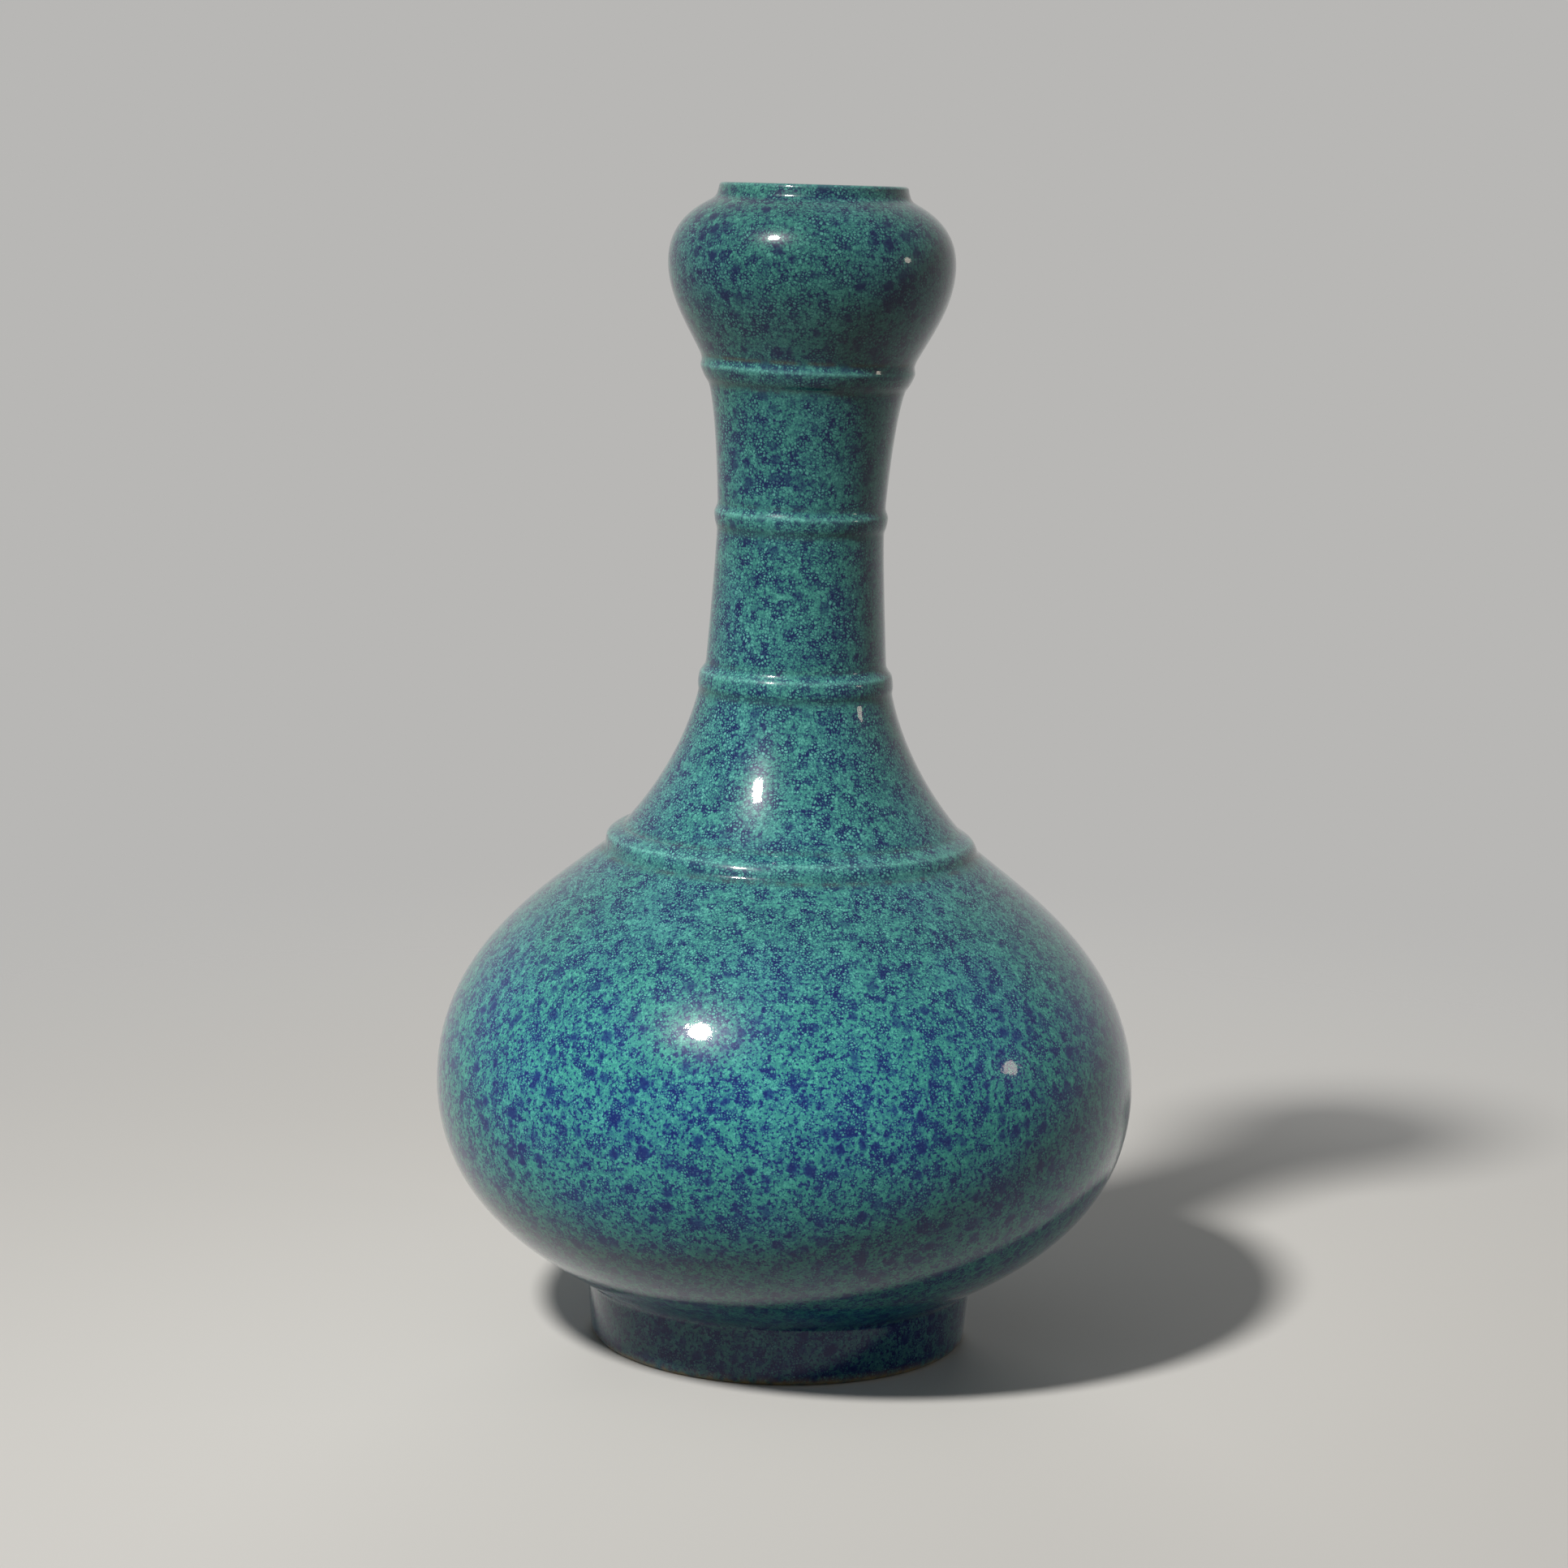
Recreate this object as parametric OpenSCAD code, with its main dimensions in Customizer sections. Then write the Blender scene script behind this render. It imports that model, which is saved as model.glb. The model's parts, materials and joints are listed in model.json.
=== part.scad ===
// Garlic head vase: thrown sections luted one on another, with raised bands laid over the seams.
// Millimetres. +Z is up, and the origin is the centre of the foot on the surface that it stands on.
// Each profile is drawn as [radius, height] and turned about the Z axis.

/* [Overall] */
// Height of the whole vase
vase_h = 280; // [250:1:320]

/* [Foot ring] */
// Radius of the ring near the edge that it stands on
foot_r = 46; // [40:0.5:56]
// Radius of the ring where the body sits on it
foot_top_r = 47; // [42:0.5:58]
// Height of the ring
foot_h = 14.2; // [8:0.2:24]
// Thickness of the ring's wall
foot_wall = 7; // [4:0.5:12]
// Rounding of the outer standing edge
foot_round = 1.6; // [0.4:0.1:3]
// Bevel of the inner standing edge
foot_bevel = 1; // [0.2:0.1:3]
// How far the floor reaches down inside the ring
boss_h = 3; // [1:0.5:7]

/* [Body] */
// Radius of the belly at its widest
belly_r = 84.75; // [70:0.25:100]
// Height from the foot ring to the widest ring, as a share of the height of all sections
belly_share = 20.9; // [16:0.1:28]
// Angle at which the belly leaves the foot, in degrees above level
belly_angle = 36; // [25:1:50]
// Fullness of the lower belly at the foot and at the widest ring
lower_belly_pull = [0.18, 0.51]; // [0.05:0.01:0.7]
// Radius of the body at the shoulder
shoulder_r = 45.5; // [43:0.1:56]
// Height from the widest ring to the shoulder, as such a share
shoulder_share = 23.9; // [19:0.1:30]
// Angle of the shoulder slope, in degrees from outward level
shoulder_angle = 140; // [130:1:150]
// Fullness of the upper belly at the widest ring and at the shoulder
upper_belly_pull = [0.44, 0.25]; // [0.05:0.01:0.7]

/* [Lower neck] */
// How much narrower the neck is above the shoulder band than the shoulder below it
shoulder_step = 4.8; // [2:0.1:8]
// Length of the flaring neck, as a share of the height of all sections
lower_neck_share = 13.95; // [10:0.05:20]
// Radius of the flaring neck at its top
lower_neck_top_r = 23.35; // [22:0.05:30]
// Slope of the flaring neck at its two ends, in degrees from outward level
lower_neck_angles = [131, 102]; // [90:1:150]
// Pull of the flare at its two ends
lower_neck_pull = [0.45, 0.2]; // [0.05:0.01:0.7]

/* [Middle neck] */
// How much narrower the neck is above the lower band than below it
lower_band_step = 1.6; // [0:0.05:3]
// Length of the middle neck, as a share of the height of all sections
middle_neck_share = 13.5; // [9:0.05:20]
// Radius of the middle neck at its top
middle_neck_top_r = 20; // [18:0.05:24]
// Slope of the middle neck at its two ends, in degrees from outward level
middle_neck_angles = [94, 91]; // [85:1:100]
// Pull of the middle neck's curve at its two ends
middle_neck_pull = [0.42, 0.22]; // [0.05:0.01:0.7]

/* [Upper neck] */
// How much wider the neck is above the middle band than below it
middle_band_step = 0.1; // [0:0.05:2]
// Length of the upper neck, as a share of the height of all sections
upper_neck_share = 11.85; // [9:0.05:18]
// Radius of the upper neck at its top
upper_neck_top_r = 23.4; // [21:0.05:27]
// Slope of the upper neck at its two ends, in degrees from outward level
upper_neck_angles = [87, 72]; // [60:1:95]
// Pull of the upper neck's curve at its two ends
upper_neck_pull = [0.17, 0.25]; // [0.05:0.01:0.7]

/* [Garlic bulb] */
// How much wider the bulb's foot is above the upper band than the neck below it
upper_band_step = 1.9; // [0:0.05:4]
// Radius of the bulb at its widest
bulb_r = 34.15; // [30:0.05:42]
// Height from the upper band to the bulb's widest ring, as a share of the height of all sections
bulb_rise_share = 9.6; // [7:0.1:13]
// Height from the bulb's widest ring to the mouth rim, as such a share
bulb_close_share = 6.3; // [5:0.1:9]
// Slope where the bulb leaves the band, in degrees above level
bulb_angle = 63; // [50:1:80]
// Slope where the bulb closes in at the rim, in degrees from outward level
bulb_close_angle = 150; // [135:1:165]
// Fullness of the bulb's rise at the band and at its widest ring
bulb_rise_pull = [0.31, 0.37]; // [0.05:0.01:0.7]
// Fullness of the bulb's close at its widest ring and at the rim
bulb_close_pull = [0.57, 0.1]; // [0.05:0.01:0.7]

/* [Mouth rim] */
// Radius of the rim where it stands on the bulb
rim_r = 23.1; // [21.5:0.05:26]
// Radius of the rim below its rounded lip
rim_top_r = 22.5; // [21:0.05:26]
// Height of the rim
rim_h = 3.4; // [2.4:0.1:8]
// Radius of the mouth
mouth_r = 17.5; // [15:0.1:19]
// Rounding of the lip's outer edge
lip_round = 1; // [0.3:0.1:1.6]
// Rounding of the lip's inner edge
lip_inner_round = 1.5; // [0.3:0.1:2]
// Width of the ledge on which the rim stands
rim_seat = 2.7; // [1.5:0.1:3.4]
// Depth of the rim's collar inside the bulb
rim_lap = 4; // [2:0.1:5]

/* [Raised bands] */
// Height of the shoulder band
shoulder_band_h = 5.4; // [4.9:0.1:9]
// How far the shoulder band stands proud
shoulder_band_proud = 1.5; // [0.4:0.05:3]
// Height of the shoulder band's crest, as a share of the band's height
shoulder_crest = 0.62; // [0.5:0.01:0.85]
// Roundness of the shoulder band's face below its crest: 1 is straight, 2 is round
shoulder_squareness = 1.3; // [1.2:0.1:4]
// Shape of the shoulder band above its crest: less than 1 is full, 1 is straight, more is hollow
shoulder_hollow = 0.65; // [0.5:0.05:3]
// Height of the lower neck band
lower_band_h = 6.6; // [4.9:0.1:10]
// How far the lower neck band stands proud
lower_band_proud = 1.05; // [0.3:0.05:2.5]
// Height of the middle neck band
middle_band_h = 6; // [4.9:0.1:10]
// How far the middle neck band stands proud
middle_band_proud = 0.9; // [0.3:0.05:2.5]
// Height of the upper neck band
upper_band_h = 6.2; // [4.9:0.1:10]
// How far the upper neck band stands proud
upper_band_proud = 1; // [0.3:0.05:2.5]
// Height of a neck band's crest, as a share of the band's height
neck_crest = 0.7; // [0.5:0.01:0.85]
// Roundness of a neck band's face below its crest: 2 is round, more is flatter with a tighter lower edge
neck_squareness = 2.3; // [1.6:0.1:4]
// Hollow of a neck band's slope above its crest: 1 is straight, more is hollower
neck_hollow = 1.6; // [1:0.1:3]
// Depth of the groove along a band's lower edge
band_groove = 0.3; // [0:0.05:0.6]
// How deep the bands are let into the wall
band_seat = 1.2; // [0.8:0.1:1.6]

/* [Walls and seams] */
// Thickness of the body's wall
body_wall = 6; // [4:0.25:8]
// Thickness of the wall in the neck and the bulb
neck_wall = 5; // [4:0.25:6]
// Height of the tongue at each seam
lap_h = 4.4; // [3:0.1:4.6]
// Room left for slip in the seams
lap_gap = 0.2; // [0.1:0.05:0.3]

/* [Hidden] */
$fn = 128;
curve_steps = 16;
bead_steps = 16;
round_steps = 8;
GLAZE = "#4a9d93";
GLAZE_THIN = "#6db5a7";
GLAZE_DARK = "#3b6f78";

// The sections share the height that the foot, the bands and the rim leave
bands_h = shoulder_band_h + lower_band_h + middle_band_h + upper_band_h;
necks_share = lower_neck_share + middle_neck_share + upper_neck_share;
all_shares = belly_share + shoulder_share + necks_share + bulb_rise_share + bulb_close_share;
share_h = (vase_h - foot_h - bands_h - rim_h) / all_shares;

// Heights of the seams, stacked from the foot up
belly_z = foot_h + belly_share * share_h;
shoulder_z = belly_z + shoulder_share * share_h;
lower_neck_z = shoulder_z + shoulder_band_h;
lower_band_z = lower_neck_z + lower_neck_share * share_h;
middle_neck_z = lower_band_z + lower_band_h;
middle_band_z = middle_neck_z + middle_neck_share * share_h;
upper_neck_z = middle_band_z + middle_band_h;
upper_band_z = upper_neck_z + upper_neck_share * share_h;
bulb_z = upper_band_z + upper_band_h;
bulb_wide_z = bulb_z + bulb_rise_share * share_h;
rim_z = bulb_wide_z + bulb_close_share * share_h;

// Radii above each band, from those below it
lower_neck_r = shoulder_r - shoulder_step;
middle_neck_r = lower_neck_top_r - lower_band_step;
upper_neck_r = middle_neck_top_r + middle_band_step;
bulb_foot_r = upper_neck_top_r + upper_band_step;

// Radii that two pieces share
foot_in_r = foot_r - foot_wall;
rim_spigot_r = rim_r - rim_seat;
rim_socket_r = rim_spigot_r + lap_gap;
UPRIGHT = 90;

// Unit step in the direction of an angle
function heading(angle) = [cos(angle), sin(angle)];

// Four control points of a curve that leaves and arrives at the given angles
function handles(from, to, angles, pulls) =
    let (chord = norm(to - from))
    [from, from + pulls[0] * chord * heading(angles[0]), to - pulls[1] * chord * heading(angles[1]), to];

// Point on a curve, for t from 0 to 1
function on_curve(c, t) =
    pow(1 - t, 3) * c[0] + 3 * pow(1 - t, 2) * t * c[1] + 3 * (1 - t) * t * t * c[2] + pow(t, 3) * c[3];

// Direction of a curve at t
function along(c, t) =
    pow(1 - t, 2) * (c[1] - c[0]) + 2 * (1 - t) * t * (c[2] - c[1]) + t * t * (c[3] - c[2]);

// Points of the outer face, from the bottom up
function outer_face(c) = [for (i = [0:curve_steps]) on_curve(c, i / curve_steps)];

// Points of the inner face, one wall thickness in from the outer one, from the top down
function inner_face(c, wall) = [
    for (i = [curve_steps:-1:0])
        let (t = i / curve_steps, d = along(c, t))
        on_curve(c, t) + wall * [-d[1], d[0]] / norm(d)
];

// Only those points that lie between two heights
function between(points, low_z, high_z) = [for (p = points) if (p[1] > low_z && p[1] < high_z) p];

// Rounded corner
function corner(centre, r, from, to) = [
    for (i = [0:round_steps]) centre + r * heading(from + (to - from) * i / round_steps)
];

// A seam: height of its seat, bore radius, tongue radius, and radius of the wall that stands on the seat.
// Under a band the wall above is turned down by the depth that the band is let in.
function seam(z, low_r, up_r, wall, let_in) =
    let (r = min(low_r, up_r), bore = r - wall, skirt = r - let_in)
    [z, bore, (bore + skirt - lap_gap) / 2, skirt];
function seat_z(s) = s[0];
function bore_r(s) = s[1];
function tongue_r(s) = s[2];
function skirt_r(s) = s[3];
function rebate_z(s) = seat_z(s) + lap_h + lap_gap;

belly_seam = seam(belly_z, belly_r, belly_r, body_wall, 0);
shoulder_seam = seam(shoulder_z, shoulder_r, lower_neck_r, neck_wall, band_seat);
lower_seam = seam(lower_band_z, lower_neck_top_r, middle_neck_r, neck_wall, band_seat);
middle_seam = seam(middle_band_z, middle_neck_top_r, upper_neck_r, neck_wall, band_seat);
upper_seam = seam(upper_band_z, upper_neck_top_r, bulb_foot_r, neck_wall, band_seat);

lower_belly = handles([foot_top_r, foot_h], [belly_r, belly_z], [belly_angle, UPRIGHT], lower_belly_pull);
upper_belly = handles([belly_r, belly_z], [shoulder_r, shoulder_z], [UPRIGHT, shoulder_angle], upper_belly_pull);
lower_flare = handles(
    [lower_neck_r, lower_neck_z], [lower_neck_top_r, lower_band_z], lower_neck_angles, lower_neck_pull);
middle_length = handles(
    [middle_neck_r, middle_neck_z], [middle_neck_top_r, middle_band_z], middle_neck_angles, middle_neck_pull);
upper_length = handles(
    [upper_neck_r, upper_neck_z], [upper_neck_top_r, upper_band_z], upper_neck_angles, upper_neck_pull);
bulb_rise = handles([bulb_foot_r, bulb_z], [bulb_r, bulb_wide_z], [bulb_angle, UPRIGHT], bulb_rise_pull);
bulb_close = handles([bulb_r, bulb_wide_z], [rim_r, rim_z], [UPRIGHT, bulb_close_angle], bulb_close_pull);

// Top of a section: a flat seat, and a tongue that stands up inside the next section
function tongue_top(s) = [
    [tongue_r(s), seat_z(s)],
    [tongue_r(s), seat_z(s) + lap_h],
    [bore_r(s), seat_z(s) + lap_h],
    [bore_r(s), seat_z(s)]
];

// Inside of a section's lower end: the rebate that goes over the tongue below
function rebate_inside(s) = [
    [bore_r(s), rebate_z(s)],
    [tongue_r(s) + lap_gap, rebate_z(s)],
    [tongue_r(s) + lap_gap, seat_z(s)]
];

// Outside of a section's lower end where a band goes round it
function skirt_outside(s, band_h) = [
    [skirt_r(s), seat_z(s)],
    [skirt_r(s), seat_z(s) + band_h]
];

// A length of neck between two seams, with a band round its lower end
module neck_length(c, below, band_h, above) {
    rotate_extrude()
        polygon(concat(
            skirt_outside(below, band_h),
            outer_face(c),
            tongue_top(above),
            between(inner_face(c, neck_wall), rebate_z(below), seat_z(above)),
            rebate_inside(below)
        ));
}

// How far a band stands proud at a share of its height: it swells to its crest, then falls to the wall
function rib(u, shape) =
    let (crest = shape[0], squareness = shape[1], hollow = shape[2])
    u < crest
        ? pow(1 - pow(1 - u / crest, squareness), 1 / squareness)
        : pow((1 - u) / (1 - crest), hollow);

shoulder_rib = [shoulder_crest, shoulder_squareness, shoulder_hollow];
neck_rib = [neck_crest, neck_squareness, neck_hollow];

// Raised ring that sits on a seam's seat, from the wall below it to the wall above it
module band(s, low_r, up_r, band_h, proud, shape) {
    bead_r = low_r - band_groove;
    bead_h = band_h - lap_gap;
    bore = skirt_r(s) + lap_gap;
    bead = [
        for (i = [0:bead_steps])
            let (u = (1 - cos(180 * i / bead_steps)) / 2)
            [bead_r + (up_r - bead_r) * u + proud * rib(u, shape), seat_z(s) + bead_h * u]
    ];
    rotate_extrude()
        polygon(concat([[bore, seat_z(s)]], bead, [[bore, seat_z(s) + bead_h]]));
}

module foot_ring() {
    color(GLAZE_DARK)
        rotate_extrude()
            polygon(concat(
                corner([foot_r - foot_round, foot_round], foot_round, -90, 0),
                [
                    [foot_top_r, foot_h],
                    [foot_in_r, foot_h],
                    [foot_in_r, foot_bevel],
                    [foot_in_r + foot_bevel, 0]
                ]
            ));
}

module lower_body() {
    boss_r = foot_in_r - lap_gap;
    inside = inner_face(lower_belly, body_wall);
    floor_z = inside[curve_steps][1];
    color(GLAZE)
        rotate_extrude()
            polygon(concat(
                outer_face(lower_belly),
                tongue_top(belly_seam),
                between(inside, 0, belly_z),
                [
                    [0, floor_z],
                    [0, foot_h - boss_h],
                    [boss_r, foot_h - boss_h],
                    [boss_r, foot_h]
                ]
            ));
}

module upper_body() {
    color(GLAZE)
        rotate_extrude()
            polygon(concat(
                outer_face(upper_belly),
                tongue_top(shoulder_seam),
                between(inner_face(upper_belly, body_wall), rebate_z(belly_seam), shoulder_z),
                rebate_inside(belly_seam)
            ));
}

module shoulder_band() {
    color(GLAZE_THIN)
        band(shoulder_seam, shoulder_r, lower_neck_r, shoulder_band_h, shoulder_band_proud, shoulder_rib);
}

module lower_neck() {
    color(GLAZE)
        neck_length(lower_flare, shoulder_seam, shoulder_band_h, lower_seam);
}

module lower_neck_band() {
    color(GLAZE_THIN)
        band(lower_seam, lower_neck_top_r, middle_neck_r, lower_band_h, lower_band_proud, neck_rib);
}

module middle_neck() {
    color(GLAZE)
        neck_length(middle_length, lower_seam, lower_band_h, middle_seam);
}

module middle_neck_band() {
    color(GLAZE_THIN)
        band(middle_seam, middle_neck_top_r, upper_neck_r, middle_band_h, middle_band_proud, neck_rib);
}

module upper_neck() {
    color(GLAZE)
        neck_length(upper_length, middle_seam, middle_band_h, upper_seam);
}

module upper_neck_band() {
    color(GLAZE_THIN)
        band(upper_seam, upper_neck_top_r, bulb_foot_r, upper_band_h, upper_band_proud, neck_rib);
}

module garlic_bulb() {
    inside = concat(
        [for (p = inner_face(bulb_close, neck_wall)) if (p[0] > rim_socket_r) p],
        between(inner_face(bulb_rise, neck_wall), rebate_z(upper_seam), bulb_wide_z)
    );
    color(GLAZE)
        rotate_extrude()
            polygon(concat(
                skirt_outside(upper_seam, upper_band_h),
                outer_face(bulb_rise),
                [for (p = outer_face(bulb_close)) if (p[1] > bulb_wide_z) p],
                [[rim_socket_r, rim_z]],
                inside,
                rebate_inside(upper_seam)
            ));
}

module mouth_rim() {
    lip_z = vase_h - lip_round;
    inner_lip_z = vase_h - lip_inner_round;
    color(GLAZE_THIN)
        rotate_extrude()
            polygon(concat(
                [[rim_r, rim_z]],
                corner([rim_top_r - lip_round, lip_z], lip_round, 0, 90),
                corner([mouth_r + lip_inner_round, inner_lip_z], lip_inner_round, 90, 180),
                [
                    [mouth_r, rim_z - rim_lap],
                    [rim_spigot_r, rim_z - rim_lap],
                    [rim_spigot_r, rim_z]
                ]
            ));
}

foot_ring();
lower_body();
upper_body();
shoulder_band();
lower_neck();
lower_neck_band();
middle_neck();
middle_neck_band();
upper_neck();
upper_neck_band();
garlic_bulb();
mouth_rim();
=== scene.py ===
"""Garlic head vase with a mottled turquoise glaze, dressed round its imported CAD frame.

Each clay section becomes a turned mesh on its CAD outline, with one smooth glazed face over all the
seams. Sizes are in millimetres and angles in degrees here. The scene itself is in metres.
"""

import json
import math

import bpy
import numpy as np
from mathutils import Matrix, Vector


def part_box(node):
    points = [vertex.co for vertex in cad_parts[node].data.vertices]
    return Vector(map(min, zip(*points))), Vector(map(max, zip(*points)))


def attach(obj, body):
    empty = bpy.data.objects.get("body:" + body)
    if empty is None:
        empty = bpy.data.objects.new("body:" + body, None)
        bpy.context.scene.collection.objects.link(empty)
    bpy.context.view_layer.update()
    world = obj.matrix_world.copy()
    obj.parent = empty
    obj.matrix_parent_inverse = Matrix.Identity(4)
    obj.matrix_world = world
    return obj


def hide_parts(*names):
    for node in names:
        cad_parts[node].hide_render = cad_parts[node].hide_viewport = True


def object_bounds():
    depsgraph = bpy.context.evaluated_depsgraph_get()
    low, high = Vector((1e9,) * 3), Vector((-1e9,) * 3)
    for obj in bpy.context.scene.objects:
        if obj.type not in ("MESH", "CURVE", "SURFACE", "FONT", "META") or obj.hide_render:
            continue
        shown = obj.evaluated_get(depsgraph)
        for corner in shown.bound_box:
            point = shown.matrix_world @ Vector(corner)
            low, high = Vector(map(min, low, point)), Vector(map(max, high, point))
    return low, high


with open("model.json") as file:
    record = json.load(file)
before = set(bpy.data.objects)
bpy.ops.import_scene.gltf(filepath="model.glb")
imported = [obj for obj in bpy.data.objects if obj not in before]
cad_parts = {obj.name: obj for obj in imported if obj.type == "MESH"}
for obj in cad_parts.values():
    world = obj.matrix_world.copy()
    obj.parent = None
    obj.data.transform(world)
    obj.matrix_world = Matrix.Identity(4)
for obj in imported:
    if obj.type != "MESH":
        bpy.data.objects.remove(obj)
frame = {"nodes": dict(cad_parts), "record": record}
cad_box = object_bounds()

MM = 0.001
TOP_Z = cad_box[1].z / MM

# Camera, fitted to the ellipses of the rim, the bands and the foot in the photograph
PHOTO_PX = 1932
FOCAL_PX = 4641
SENSOR = 36
CAMERA_PLACE = (-2.15, -900, 280.4)
CAMERA_PITCH = 9.083
CAMERA_ROLL = 1.65

# Pieces
BANDS = ("shoulder_band", "lower_neck_band", "middle_neck_band", "upper_neck_band")
BELLY_PIECES = ("foot_ring", "lower_body", "upper_body")

# Turned meshes
SEGMENTS = 168
STRIP_COUNTS = (1, 2, 3, 4, 6, 8)
RING_GRID = 0.01
CORNER_TURN = 25
CURVE_STEP = 1.3
FINE_STEP = 0.4
FINE_REACH = 4
FLAT_STEP = 7
INNER_MAP_SHARE = 0.35
MAP_MARGIN = 0.012

# Glazed face: it fills the slip gap above each band, and softens every seam but the edges of lip and foot
SLIP_GAP = 0.2
PROFILE_STEP = 0.05
SEAM_SOFTNESS = 0.5
SHARP_FOOT = 2
SHARP_LIP = 1.6
FACE_TOLERANCE = 0.1

# Hand-made irregularity: waves round the wall (count, height per radian, phase, size)
WOBBLES = ((2, 31, 0.6, 0.09), (3, 19, 2.1, 0.06), (5, 12, 4.0, 0.03), (0, 9, 1.0, 0.03))
WOBBLE_FULL_R = 20
# The head leans to the right by this much, all of it gained between two heights
LEAN = 0.95
LEAN_FROM_Z = 190
LEAN_TO_Z = 264
# The shoulder band swells on its left: its curve peaks at 0.29, so this is about 1.1 mm at most
SWELL = 4.0

# Lamps: azimuth (0 is behind the camera, minus is left), elevation, distance, size, beam, watts, colour.
# The one behind lights the back and leaves no highlight.
LAMP_AIM = (0, 0, 110)
LAMPS = {
    "key": (-38, 47.5, 1500, 185, 60, 2.9, (1.0, 0.97, 0.93)),
    "right": (80, 17, 900, 100, 180, 0.24, (1.0, 0.86, 0.72)),
    "behind": (180, 12, 1500, 700, 180, 7.0, (1.0, 0.98, 0.95)),
}
NO_HIGHLIGHT = {"behind"}
SKY_LIGHT = (0.12, 0.125, 0.13, 1.0)

# Floor: a round pale sheet that fades into the backdrop, and throws less light on the vase than it shows
FLOOR_R = 650
FLOOR_FADE_FROM = 150
FLOOR_COLOUR = (202, 201, 198)
FAR_FLOOR_COLOUR = (238, 237, 234)
BOUNCE_COLOUR = (104, 104, 102)
PAPER_ROUGHNESS = 0.9
BACKDROP_COLOUR = (184, 183, 181)


def linear(colour):
    """Screen colour from 0 to 255 as the shader wants it: linear, and opaque."""
    parts = [c / 255 for c in colour]
    return tuple(c / 12.92 if c <= 0.04045 else ((c + 0.055) / 1.055) ** 2.4 for c in parts) + (1.0,)


def make_camera():
    data = bpy.data.cameras.new("camera")
    data.sensor_fit = "HORIZONTAL"
    data.sensor_width = SENSOR
    data.lens = SENSOR * FOCAL_PX / PHOTO_PX
    camera = bpy.data.objects.new("camera", data)
    pitch = Matrix.Rotation(math.radians(90 - CAMERA_PITCH), 4, "X")
    roll = Matrix.Rotation(math.radians(CAMERA_ROLL), 4, "Z")
    camera.matrix_world = Matrix.Translation(Vector(CAMERA_PLACE) * MM) @ pitch @ roll
    bpy.context.scene.collection.objects.link(camera)
    bpy.context.scene.camera = camera


def heights(node):
    """Lowest and highest point of a CAD node."""
    return [corner.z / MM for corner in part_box(node)]


def cad_outline(node):
    """Outline of a turned node: points (radius, height), counter-clockwise, and whether it is closed."""
    mesh = frame["nodes"][node].data
    rings = set()
    ring_at = []
    for vertex in mesh.vertices:
        r = round(math.hypot(vertex.co.x, vertex.co.y) / MM / RING_GRID)
        z = round(vertex.co.z / MM / RING_GRID)
        near = [(r + i, z + k) for i in (0, -1, 1) for k in (0, -1, 1) if (r + i, z + k) in rings]
        ring = near[0] if near else (r, z)
        rings.add(ring)
        ring_at.append(ring)
    beside = {ring: set() for ring in rings}
    for edge in mesh.edges:
        a, b = (ring_at[i] for i in edge.vertices)
        if a != b:
            beside[a].add(b)
            beside[b].add(a)
    ends = sorted(ring for ring in rings if len(beside[ring]) == 1)
    path = [ends[0] if ends else min(rings)]
    while True:
        onward = sorted(ring for ring in beside[path[-1]] if ring not in path)
        if not onward:
            break
        path.append(onward[0])
    points = [Vector(ring) * RING_GRID for ring in path]
    if ends:
        points = [Vector((0, points[0].y))] + points + [Vector((0, points[-1].y))]
    pairs = zip(points, points[1:] + points[:1])
    if sum(a.x * b.y - b.x * a.y for a, b in pairs) < 0:
        points.reverse()
    return points, not ends


def is_level(a, b):
    return abs(a.y - b.y) < RING_GRID


def is_corner(before, here, after):
    """Whether an outline has an edge here: a sharp turn, or the end of a level stretch."""
    turn = (here - before).angle(after - here)
    return turn > math.radians(CORNER_TURN) or is_level(before, here) or is_level(here, after)


def step_between(a, b):
    """How far apart points should lie from a to b: close on a face that rises past a seam."""
    if is_level(a, b):
        return FLAT_STEP
    middle = (a.y + b.y) / 2
    near_seam = min(abs(middle - z) for z in SEAMS) < FINE_REACH
    return FINE_STEP if near_seam and b.y > a.y else CURVE_STEP


def curve_through(run):
    """Points close together on a smooth curve through a run of outline points."""
    if len(run) == 2:
        gap = run[1] - run[0]
        count = math.ceil(gap.length / step_between(*run))
        return [run[0] + gap * i / count for i in range(count + 1)]
    lengths = [(b - a).length for a, b in zip(run, run[1:])]
    slopes = [(b - a) / s for a, b, s in zip(run, run[1:], lengths)]
    tangents = []
    for s0, s1, d0, d1 in zip(lengths, lengths[1:], slopes, slopes[1:]):
        tangents.append((d0 * s1 + d1 * s0) / (s0 + s1))
    tangents.insert(0, 2 * slopes[0] - tangents[0])
    tangents.append(2 * slopes[-1] - tangents[-1])
    out = [run[0]]
    for i, length in enumerate(lengths):
        count = max(2, math.ceil(length / step_between(run[i], run[i + 1])))
        for k in range(1, count + 1):
            t = k / count
            out.append(
                run[i] * (1 + 2 * t) * (1 - t) ** 2
                + tangents[i] * length * t * (1 - t) ** 2
                + run[i + 1] * t * t * (3 - 2 * t)
                - tangents[i + 1] * length * t * t * (1 - t)
            )
    return out


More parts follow.
